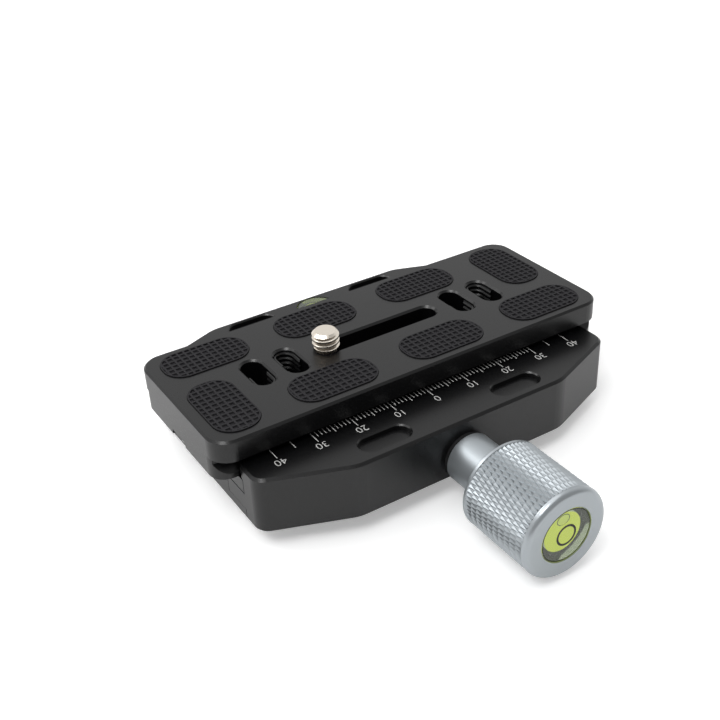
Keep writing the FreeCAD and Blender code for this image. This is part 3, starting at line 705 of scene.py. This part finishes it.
class CLAMP_OT_rubber_pads(bpy.types.Operator):
    """Moulds one pad with its square pits and sets eight copies into the plate"""
    bl_idname = "clamp.rubber_pads"
    bl_label = "Rubber pads"

    def execute(self, context):
        s = context.scene.clamp_pads
        low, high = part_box("pad_1")
        size = high - low
        pits = pit_blocks(s)
        pad = pad_blank(s, size)
        # The field keeps the pits off the rim. It is three pads tall and so takes them in at full height.
        field = own_copy(pad, "pad_field")
        field.scale = (1 - 2 * s.rim / size.x, 1 - 2 * s.rim / size.y, 3.0)
        place(field, (0, 0, size.z))
        combine(pits, field, "INTERSECT")
        combine(pad, pits, "DIFFERENCE")
        close_up(pad)
        for node in PAD_NODES:
            low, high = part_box(node)
            middle = (low + high) / 2
            across = high.y - low.y > high.x - low.x
            piece = own_copy(pad, "rubber_" + node)
            place(piece, (middle.x, middle.y, high.z), (0, 0, QUARTER_TURN if across else 0))
            finish_piece(piece, "plate", finishes()["moulded_rubber"], PAD_SMOOTH_ANGLE)
            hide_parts(node)
        bpy.data.objects.remove(pad)
        return {"FINISHED"}


class CLAMP_OT_camera_screw(bpy.types.Operator):
    """Turns the camera screw with its slotted head and cuts its thread"""
    bl_idname = "clamp.camera_screw"
    bl_label = "Camera screw"

    def execute(self, context):
        s = context.scene.clamp_threads
        head_r = (SCREW_HIGH.x - SCREW_LOW.x) / 2
        low, tip = SCREW_LOW.z, SCREW_HIGH.z
        crest, shank, edge, slot = s.camera_radius, s.shank_radius, s.head_edge, s.coin_slot
        neck, start = low + s.head_height, PLATE_HIGH.z + s.camera_start
        core_top, blank_low = start + s.camera_pitch, start - MM
        core = turn("threaded_camera_screw", [
            (0, low), (head_r - edge, low), (head_r, low + edge), (head_r, neck), (shank, neck),
            (shank, core_top), (0, core_top)], steps=64)
        rod = thread_rod("rod", s.camera_root, crest + s.proud, s.camera_pitch, start, tip, steps=64)
        blank = turn("blank", [(0, blank_low), (shank, blank_low), (shank, start), (crest, start + s.run_in),
                               (crest, tip - s.tip_chamfer), (crest - s.tip_chamfer, tip), (0, tip)], steps=64)
        combine(rod, blank, "INTERSECT")
        close_up(rod)
        cutter = made("coin_slot", bpy.ops.mesh.primitive_cube_add, size=1.0, location=(0, 0, low),
                      scale=(3 * head_r, slot, 2 * slot))
        combine(core, cutter, "DIFFERENCE")
        close_up(core)
        join([core, rod])
        place(core, ((SCREW_LOW.x + SCREW_HIGH.x) / 2, 0, 0))
        finish_piece(core, "camera_screw", finishes()["turned_stainless_steel"])
        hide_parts("camera_screw")
        return {"FINISHED"}


class CLAMP_OT_clamping_screw(bpy.types.Operator):
    """Turns the screw that draws the jaw in and cuts its thread"""
    bl_idname = "clamp.clamping_screw"
    bl_label = "Clamping screw"

    def execute(self, context):
        s = context.scene.clamp_threads
        crest = (STUD_HIGH.x - STUD_LOW.x) / 2
        stud = STUD_HIGH.y - STUD_LOW.y
        clip_low, clip_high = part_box("screw_clip")
        groove, gap, chamfer, threaded = s.clip_groove, s.clip_gap, s.stud_chamfer, s.stud_thread
        groove_low, groove_high = STUD_HIGH.y - clip_high.y - gap, STUD_HIGH.y - clip_low.y + gap
        core = turn("threaded_clamping_screw", [(0, threaded), (crest, threaded), (crest, stud), (0, stud)], steps=64)
        rod = thread_rod("rod", s.stud_root, crest + s.proud, s.stud_pitch, 0, threaded + s.stud_pitch, steps=48)
        blank = turn("blank", [(0, 0), (crest - chamfer, 0), (crest, chamfer), (crest, groove_low),
                               (groove, groove_low), (groove, groove_high), (crest, groove_high),
                               (crest, threaded + chamfer), (0, threaded + chamfer)], steps=48)
        combine(rod, blank, "INTERSECT")
        close_up(rod)
        join([core, rod])
        place(core, (0, STUD_HIGH.y, (STUD_LOW.z + STUD_HIGH.z) / 2), (QUARTER_TURN, 0, 0))
        finish_piece(core, "knob", finishes()["zinc_plated_steel"])
        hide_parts("clamp_screw")
        return {"FINISHED"}


class CLAMP_OT_tapped_holes(bpy.types.Operator):
    """Cuts the threads inside the plate's oblong holes and the base's tripod hole"""
    bl_idname = "clamp.tapped_holes"
    bl_label = "Tapped holes"

    def execute(self, context):
        s = context.scene.clamp_threads
        metal = finishes()["black_anodised_aluminium"]
        stretch = (s.hole_length - s.hole_width) / 2
        wall = inner_thread("hole_thread", s.hole_width / 2, s.hole_depth, s.skin, s.camera_pitch,
                            PLATE_LOW.z + s.foot, PLATE_HIGH.z - s.mouth, stretch)
        # Each hole is tapped at one end only: near, far, near, far from left to right.
        places = ((-s.hole_outer, -1), (-s.hole_inner, 1), (s.hole_inner, -1), (s.hole_outer, 1))
        for number, (x, end) in enumerate(places, 1):
            piece = own_copy(wall, "hole_thread_%d" % number)
            cut(piece, (0, 0, 0), (0, -end, 0))
            close_up(piece)
            place(piece, (x, 0, 0))
            finish_piece(piece, "plate", metal)
        bpy.data.objects.remove(wall)
        base = inner_thread("tripod_thread", s.base_radius, s.base_depth, s.skin, s.base_pitch, s.base_mouth,
                            PLATE_LOW.z - s.base_roof)
        finish_piece(base, "base", metal)
        return {"FINISHED"}


def ink_box(name, x, low_y, high_y, stroke, ink):
    """Printed mark on the moving jaw's top."""
    mark = made(name, bpy.ops.mesh.primitive_plane_add, size=1.0,
                location=(x, (low_y + high_y) / 2, JAW_TOP - ink / 4))
    mark.scale = (stroke, high_y - low_y, 1.0)
    place(mark, mark.location)
    edit_mode(mark)
    bpy.ops.mesh.extrude_region_move(TRANSFORM_OT_translate={"value": (0, 0, ink)})
    object_mode()
    return mark


def printed_number(text, x, y, sizes):
    """Printed number on the moving jaw's top, read from the back."""
    bpy.ops.object.select_all(action="DESELECT")
    bpy.ops.object.text_add()
    font = bpy.context.active_object.data
    font.body = text
    font.size = sizes.digit_height / DIGIT_SHARE
    font.align_x = "CENTER"
    font.align_y = "BOTTOM_BASELINE"
    font.offset = -sizes.thinning
    font.extrude = sizes.ink / 2
    font.resolution_u = 4
    bpy.ops.object.convert(target="MESH")
    digit = named("digits")
    place(digit, (x, y, JAW_TOP + sizes.ink / 4), (0, 0, math.pi))
    return digit


def printed(name, prints):
    """Joins prints on the moving jaw into one finished piece."""
    piece = join(prints)
    piece.name = name
    close_up(piece)
    finish_piece(piece, "jaw", finishes()["white_screen_ink"], degrees=0)


class CLAMP_OT_printed_scale(bpy.types.Operator):
    """Prints the millimetre scale and its numbers on the moving jaw"""
    bl_idname = "clamp.printed_scale"
    bl_label = "Printed scale"

    def execute(self, context):
        s = context.scene.clamp_scale
        start = -s.start
        feet = {1: start - s.short_mark, 5: start - s.middle_mark, 10: start - s.long_mark}
        marks = []
        for x in SCALE_MARKS:
            step = 10 if x % 10 == 0 else 5 if x % 5 == 0 else 1
            marks.append(ink_box("mark", x * MM, feet[step], start, s.stroke, s.ink))
        printed("scale_marks", marks)
        line = feet[10] - s.digit_gap
        printed("scale_numbers", [printed_number(str(abs(x)), x * MM, line, s) for x in SCALE_NUMBERS])
        return {"FINISHED"}


def printed_ring(name, radius, stroke, sizes):
    """Ring of ink on a window at zero height."""
    inner, outer, low, high = radius - stroke / 2, radius + stroke / 2, -sizes.ink_below, sizes.ink_above
    return turn(name, [(inner, low), (outer, low), (outer, high), (inner, high), (inner, low)], steps=72)


def bullseye(prefix, body, ring_r, bubble_r, bubble_rise, sizes, spirit, on_axis):
    """Vial, liquid, printed ring and bubble of one level, made about Z with the window at zero height."""
    materials = finishes()
    vial_low, vial_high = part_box(prefix + "_vial")
    fluid_low, fluid_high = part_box(prefix + "_vial_fluid")
    radius = (vial_high.x - vial_low.x) / 2 - sizes.play
    fluid_r = (fluid_high.x - fluid_low.x) / 2 - sizes.inset
    if on_axis:
        depth, roof = vial_high.y - vial_low.y, fluid_low.y - vial_low.y
        origin, lay = (0, vial_low.y, KNOB_AXIS_Z), (QUARTER_TURN, 0, 0)
    else:
        depth, roof = vial_high.z - vial_low.z, vial_high.z - fluid_high.z
        origin, lay = (0, (vial_low.y + vial_high.y) / 2, vial_high.z), (0, 0, 0)
    floor, edge = -depth, sizes.vial_edge
    vial = turn(prefix + "_vial_body", [(0, floor), (radius, floor), (radius, -edge), (radius - edge, 0), (0, 0)],
                steps=96)
    dome_r = (fluid_r ** 2 + sizes.dome ** 2) / (2 * sizes.dome)
    dome_middle = -roof - sizes.inset - dome_r
    tilt = math.degrees(math.asin(fluid_r / dome_r))
    top = arc((0, dome_middle), dome_r, 90 - tilt, 90, steps=10)
    fluid = turn(prefix + "_vial_liquid", [(0, floor + sizes.inset), (fluid_r, floor + sizes.inset), *top], steps=72)
    ring = printed_ring(prefix + "_vial_ring", ring_r, sizes.stroke, sizes)
    # The dark line round the window is painted shade: black ink drawn where the gap round the vial lies in shadow.
    gap_shade_r = radius - edge - sizes.border / 2
    join([ring, printed_ring(prefix + "_vial_border", gap_shade_r, sizes.border, sizes)])
    bubble_at = (0, bubble_rise, dome_middle + math.sqrt(dome_r ** 2 - bubble_rise ** 2))
    bubble = made(prefix + "_vial_bubble", bpy.ops.mesh.primitive_uv_sphere_add, segments=40, ring_count=20,
                  radius=bubble_r, scale=(sizes.bubble_stretch, 1, sizes.bubble_flatness))
    place(bubble, bubble_at)
    # The bubble's dark outline is a ring of painted shade.
    edge_ring = made(prefix + "_vial_bubble_edge", bpy.ops.mesh.primitive_torus_add, major_segments=48,
                     minor_segments=10, major_radius=bubble_r, minor_radius=sizes.bubble_edge)
    edge_ring.scale = (sizes.bubble_stretch, 1, 1)
    place(edge_ring, bubble_at)
    parts = ((vial, "cast_acrylic", "clear_acrylic", (prefix + "_vial",)),
             (fluid, spirit, "level_liquid", (prefix + "_vial_fluid",)),
             (ring, "black_screen_ink", "vial_plug", ()),
             (bubble, "bubble_air", "level_liquid", ()),
             (edge_ring, "bubble_edge", "level_liquid", ()))
    for piece, material, slot, nodes in parts:
        place(piece, origin, lay)
        finish_piece(piece, body, materials[material])
        if nodes:
            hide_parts(*nodes)


class CLAMP_OT_bullseye_levels(bpy.types.Operator):
    """Builds the bullseye levels in the knob's end and in the fixed jaw"""
    bl_idname = "clamp.bullseye_levels"
    bl_label = "Bullseye levels"

    def execute(self, context):
        s = context.scene.clamp_levels
        bullseye("knob", "knob", s.knob_ring, s.knob_bubble, s.knob_bubble_rise, s, "dyed_spirit", True)
        # The jaw's level takes the spirit's darker copy, which is painted shade.
        bullseye("jaw", "base", s.jaw_ring, s.jaw_bubble, s.jaw_bubble_rise, s, "shaded_spirit", False)
        return {"FINISHED"}


# The clamp stands on the back edge of its base and on the knob's rim, and the paper leans to touch both.
FOOT_BACK = Vector((0.0, 34.1 * MM, 0.0))
FOOT_FRONT = Vector((0.0, -47.54 * MM, -5.75 * MM))
CAMERA_PLACE = Vector((-116.48, -184.91, 147.80)) * MM
CAMERA_LOOK = Vector((0.43839, 0.72793, -0.52720)).normalized()
CAMERA_ROLL = math.radians(-2.855)
SENSOR_WIDTH = 36.0
CLIP_NEAR, CLIP_FAR = 0.01, 20.0
LAMP_AIM = Vector((0.0, -0.01, 0.01))
# Name, place, width in metres and power in watts of each soft light.
LAMPS = (("top_softbox", (-0.22, 0.05, 0.85), 1.2, 3.2),
         ("back_softbox", (-0.43, 0.43, 0.64), 0.4, 1.1),
         ("front_softbox", (-0.42, -0.25, 0.77), 0.35, 2.0))


def softbox(name, location, width, power):
    """Round soft light aimed at the clamp."""
    light = bpy.data.lights.new(name, "AREA")
    light.shape = "DISK"
    light.size, light.energy = width, power
    lamp = bpy.data.objects.new(name, light)
    lamp.location = location
    lamp.rotation_euler = (LAMP_AIM - Vector(location)).to_track_quat("-Z", "Y").to_euler()
    bpy.context.scene.collection.objects.link(lamp)
    return lamp


def white_paper(sizes, rgb):
    """Matt white paper that keeps a lightened shadow round the clamp and is plain white to the eye beyond."""
    material, tree = empty_material("white_paper")
    where = add_node(tree, "ShaderNodeTexCoord")
    reach = add_node(tree, "ShaderNodeVectorMath", links={0: where.outputs["Object"]}, operation="LENGTH")
    fade = add_node(tree, "ShaderNodeMapRange",
                    {"From Min": sizes.shadow_core * sizes.shadow_reach, "From Max": sizes.shadow_reach},
                    {"Value": reach.outputs["Value"]}, interpolation_type="SMOOTHSTEP")
    path = add_node(tree, "ShaderNodeLightPath")
    seen = add_node(tree, "ShaderNodeMath", operation="ADD",
                    links={0: path.outputs["Is Camera Ray"], 1: path.outputs["Is Glossy Ray"]})
    seen = add_node(tree, "ShaderNodeMath", operation="ADD", use_clamp=True,
                    links={0: seen.outputs[0], 1: path.outputs["Is Transmission Ray"]})
    far = add_node(tree, "ShaderNodeMath", operation="MULTIPLY",
                   links={0: seen.outputs[0], 1: fade.outputs["Result"]})
    paper = add_node(tree, "ShaderNodeBsdfDiffuse", {"Color": (*rgb, 1.0)})
    white = add_node(tree, "ShaderNodeEmission", {"Strength": 1.0})
    sweep = add_node(tree, "ShaderNodeMixShader",
                     links={0: far.outputs[0], 1: paper.outputs[0], 2: white.outputs[0]})
    near = add_node(tree, "ShaderNodeMath", {1: sizes.shadow_light}, {0: path.outputs["Is Camera Ray"]},
                    operation="MULTIPLY")
    lift = add_node(tree, "ShaderNodeEmission", links={"Strength": near.outputs[0]})
    lit = add_node(tree, "ShaderNodeAddShader", links={0: sweep.outputs[0], 1: lift.outputs[0]})
    add_node(tree, "ShaderNodeOutputMaterial", links={"Surface": lit.outputs[0]})
    return material


def studio(sizes):
    """White room, dimmer towards the photographer and plain white to the eye."""
    world = bpy.data.worlds.new("studio")
    world.use_nodes = True
    tree = world.node_tree
    tree.nodes.clear()
    path = add_node(tree, "ShaderNodeLightPath")
    where = add_node(tree, "ShaderNodeTexCoord")
    side = add_node(tree, "ShaderNodeSeparateXYZ", links={0: where.outputs["Generated"]})
    room = add_node(tree, "ShaderNodeMapRange",
                    {"From Min": -sizes.front_edge, "From Max": 0.0, "To Min": sizes.front, "To Max": sizes.walls},
                    {"Value": side.outputs["Y"]}, interpolation_type="SMOOTHSTEP")
    strength = add_node(tree, "ShaderNodeMix", {"B": 1.0},
                        {"Factor": path.outputs["Is Camera Ray"], "A": room.outputs["Result"]})
    sky = add_node(tree, "ShaderNodeBackground", links={"Strength": strength.outputs["Result"]})
    add_node(tree, "ShaderNodeOutputWorld", links={"Surface": sky.outputs[0]})
    return world


def photo_camera(sizes):
    """Camera at the photograph's place."""
    camera = bpy.data.cameras.new("photo_camera")
    camera.lens = sizes.focal
    camera.sensor_width = SENSOR_WIDTH
    camera.clip_start, camera.clip_end = CLIP_NEAR, CLIP_FAR
    eye = bpy.data.objects.new("photo_camera", camera)
    right = CAMERA_LOOK.cross(Vector((0, 0, 1))).normalized()
    up = right.cross(CAMERA_LOOK)
    right, up = (right * math.cos(CAMERA_ROLL) + up * math.sin(CAMERA_ROLL),
                 up * math.cos(CAMERA_ROLL) - right * math.sin(CAMERA_ROLL))
    turned = Matrix((right, up, -CAMERA_LOOK)).transposed().to_4x4()
    eye.matrix_world = Matrix.Translation(CAMERA_PLACE) @ turned
    bpy.context.scene.collection.objects.link(eye)
    return eye


class CLAMP_OT_stage(bpy.types.Operator):
    """Sets up the paper sweep, the soft lights and the camera"""
    bl_idname = "clamp.stage"
    bl_label = "Stage"

    def execute(self, context):
        scene = context.scene
        s = scene.clamp_stage
        lean = math.atan2(FOOT_BACK.z - FOOT_FRONT.z, FOOT_BACK.y - FOOT_FRONT.y)
        floor = made("paper_sweep", bpy.ops.mesh.primitive_plane_add, size=s.floor_size,
                     location=(FOOT_BACK + FOOT_FRONT) / 2, rotation=(lean, 0, 0))
        floor.data.materials.append(white_paper(s, scene.clamp_colours.floor))
        scene.world = studio(s)
        lamps = [softbox(*lamp) for lamp in LAMPS]
        scene.camera = photo_camera(s)
        scene.view_settings.view_transform = "Standard"
        return {"FINISHED"}


class CLAMP_PT_panel(bpy.types.Panel):
    """Lists the clamp's pieces and sizes"""
    bl_label = "Quick clamp"
    bl_idname = "CLAMP_PT_panel"
    bl_space_type = "VIEW_3D"
    bl_region_type = "UI"
    bl_category = "Quick clamp"

    def draw(self, context):
        for operator in OPERATORS:
            self.layout.operator(operator.bl_idname)
        for holder in SETTINGS:
            group = getattr(context.scene, holder)
            box = self.layout.box()
            box.label(text=holder.replace("_", " "))
            for key in group.bl_rna.properties.keys():
                if key not in ("rna_type", "name"):
                    box.prop(group, key)


OPERATORS = (CLAMP_OT_solid_finishes, CLAMP_OT_knurled_knob, CLAMP_OT_rubber_pads, CLAMP_OT_camera_screw,
             CLAMP_OT_clamping_screw, CLAMP_OT_tapped_holes, CLAMP_OT_printed_scale, CLAMP_OT_bullseye_levels,
             CLAMP_OT_stage)
SETTINGS = {"clamp_knob": KnobSizes, "clamp_pads": PadSizes, "clamp_threads": ThreadSizes,
            "clamp_scale": ScaleSizes, "clamp_levels": LevelSizes, "clamp_colours": FinishColours,
            "clamp_stage": StageSizes}


def register():
    for kind in (*SETTINGS.values(), *OPERATORS, CLAMP_PT_panel):
        bpy.utils.register_class(kind)
    for holder, kind in SETTINGS.items():
        setattr(bpy.types.Scene, holder, PointerProperty(type=kind))


def unregister():
    for holder in SETTINGS:
        delattr(bpy.types.Scene, holder)
    for kind in reversed((*SETTINGS.values(), *OPERATORS, CLAMP_PT_panel)):
        bpy.utils.unregister_class(kind)


def main():
    register()
    bpy.ops.clamp.solid_finishes()
    bpy.ops.clamp.knurled_knob()
    bpy.ops.clamp.rubber_pads()
    bpy.ops.clamp.camera_screw()
    bpy.ops.clamp.clamping_screw()
    bpy.ops.clamp.tapped_holes()
    bpy.ops.clamp.printed_scale()
    bpy.ops.clamp.bullseye_levels()
    bpy.ops.clamp.stage()


if __name__ == "__main__":
    main()
